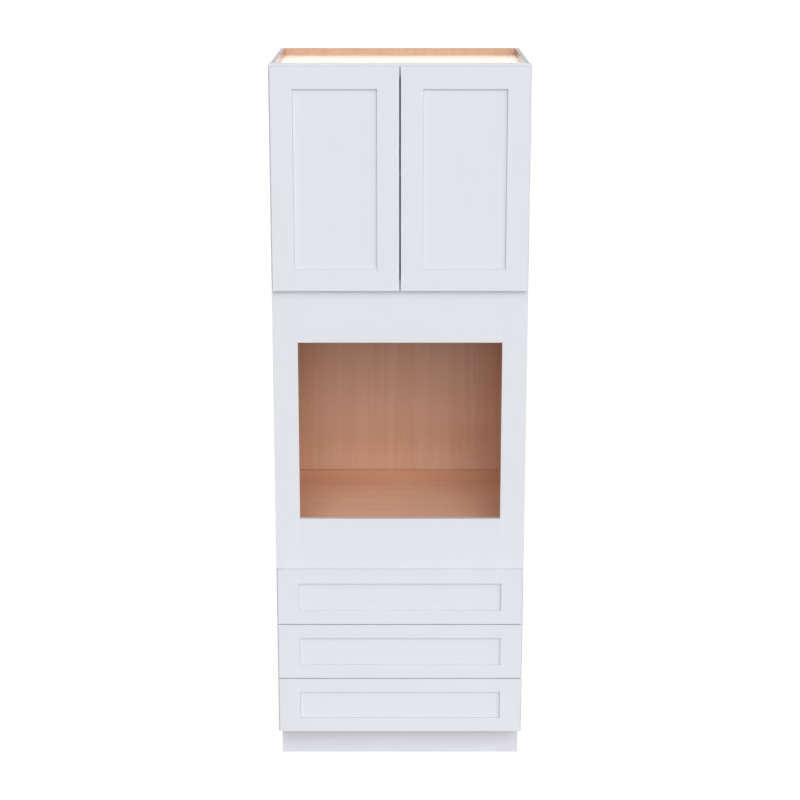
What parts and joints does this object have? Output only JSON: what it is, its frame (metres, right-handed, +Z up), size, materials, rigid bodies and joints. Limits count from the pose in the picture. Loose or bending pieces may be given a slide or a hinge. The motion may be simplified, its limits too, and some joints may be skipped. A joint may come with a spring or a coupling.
{
  "type": "oven cabinet",
  "caption": "Tall white framed kitchen cabinet with an open bay for a built-in oven, shaker doors above and shaker drawers below.",
  "frame": {"origin": "middle of the cabinet's bounding box at floor level, under the toe kick and side panels", "axes": "+Z up, -Y out of the doors and drawers, +X to the right of someone facing the cabinet"},
  "size_m": [0.8382, 0.6312, 2.405],
  "materials": {
    "white_paint": "sprayed satin white paint on maple and fibreboard",
    "wood_veneer_ply": "clear-coated wood veneer on plywood",
    "birch_wood": "clear-coated birch",
    "zinc_steel": "zinc-plated steel",
    "clear_bumper": "clear soft polyurethane"
  },
  "bodies": {
    "carcass": {"side_panel_left": "white_paint", "side_panel_right": "white_paint", "back_panel": "wood_veneer_ply", "top_panel": "wood_veneer_ply", "cupboard_floor": "wood_veneer_ply", "adjustable_shelf": "wood_veneer_ply", "shelf_pins": "zinc_steel", "hanging_rails": "wood_veneer_ply", "oven_shelf": "wood_veneer_ply", "oven_shelf_cleats": "birch_wood", "oven_back_strip": "wood_veneer_ply", "bottom_panel": "wood_veneer_ply", "toe_kick": "white_paint", "face_stile_left": "white_paint", "face_stile_right": "white_paint", "top_rail": "white_paint", "upper_oven_rail": "white_paint", "lower_oven_rail": "white_paint", "oven_stiles": "white_paint", "drawer_rails": "white_paint", "bottom_rail": "white_paint", "hinge_arms": "zinc_steel", "slide_spacers": "birch_wood", "slide_rails": "zinc_steel", "slide_screws": "zinc_steel", "bumpers": "clear_bumper"},
    "door_left": {"door_left_hinge_stile": "white_paint", "door_left_lock_stile": "white_paint", "door_left_rails": "white_paint", "door_left_panel": "white_paint", "door_left_hinge_cups": "zinc_steel"},
    "door_right": {"door_right_hinge_stile": "white_paint", "door_right_lock_stile": "white_paint", "door_right_rails": "white_paint", "door_right_panel": "white_paint", "door_right_hinge_cups": "zinc_steel"},
    "upper_drawer": {"upper_drawer_front_stiles": "white_paint", "upper_drawer_front_rails": "white_paint", "upper_drawer_front_panel": "white_paint", "upper_drawer_box_sides": "birch_wood", "upper_drawer_box_ends": "birch_wood", "upper_drawer_box_bottom": "birch_wood", "upper_drawer_slide_members": "zinc_steel"},
    "upper_runners": {"upper_drawer_runners": "zinc_steel"},
    "middle_drawer": {"middle_drawer_front_stiles": "white_paint", "middle_drawer_front_rails": "white_paint", "middle_drawer_front_panel": "white_paint", "middle_drawer_box_sides": "birch_wood", "middle_drawer_box_ends": "birch_wood", "middle_drawer_box_bottom": "birch_wood", "middle_drawer_slide_members": "zinc_steel"},
    "middle_runners": {"middle_drawer_runners": "zinc_steel"},
    "lower_drawer": {"lower_drawer_front_stiles": "white_paint", "lower_drawer_front_rails": "white_paint", "lower_drawer_front_panel": "white_paint", "lower_drawer_box_sides": "birch_wood", "lower_drawer_box_ends": "birch_wood", "lower_drawer_box_bottom": "birch_wood", "lower_drawer_slide_members": "zinc_steel"},
    "lower_runners": {"lower_drawer_runners": "zinc_steel"}
  },
  "joints": [
    {"name": "door_left_hinge", "type": "hinge", "parent": "carcass", "child": "door_left", "pos_m": [-0.4068, -0.31102, 2.03525], "axis": [0, 0, -1], "range_deg": [0, 105]},
    {"name": "door_right_hinge", "type": "hinge", "parent": "carcass", "child": "door_right", "pos_m": [0.4068, -0.31102, 2.03525], "axis": [0, 0, 1], "range_deg": [0, 105]},
    {"name": "upper_drawer_slide", "type": "slide", "parent": "carcass", "child": "upper_drawer", "axis": [0, -1, 0], "range_m": [0, 0.508]},
    {"name": "upper_runner_slide", "type": "slide", "parent": "carcass", "child": "upper_runners", "axis": [0, -1, 0], "range_m": [0, 0.254]},
    {"name": "middle_drawer_slide", "type": "slide", "parent": "carcass", "child": "middle_drawer", "axis": [0, -1, 0], "range_m": [0, 0.508]},
    {"name": "middle_runner_slide", "type": "slide", "parent": "carcass", "child": "middle_runners", "axis": [0, -1, 0], "range_m": [0, 0.254]},
    {"name": "lower_drawer_slide", "type": "slide", "parent": "carcass", "child": "lower_drawer", "axis": [0, -1, 0], "range_m": [0, 0.508]},
    {"name": "lower_runner_slide", "type": "slide", "parent": "carcass", "child": "lower_runners", "axis": [0, -1, 0], "range_m": [0, 0.254]}
  ],
  "couplings": [
    {"joint": "upper_runner_slide", "follows": "upper_drawer_slide", "ratio": 0.5},
    {"joint": "middle_runner_slide", "follows": "middle_drawer_slide", "ratio": 0.5},
    {"joint": "lower_runner_slide", "follows": "lower_drawer_slide", "ratio": 0.5}
  ]
}
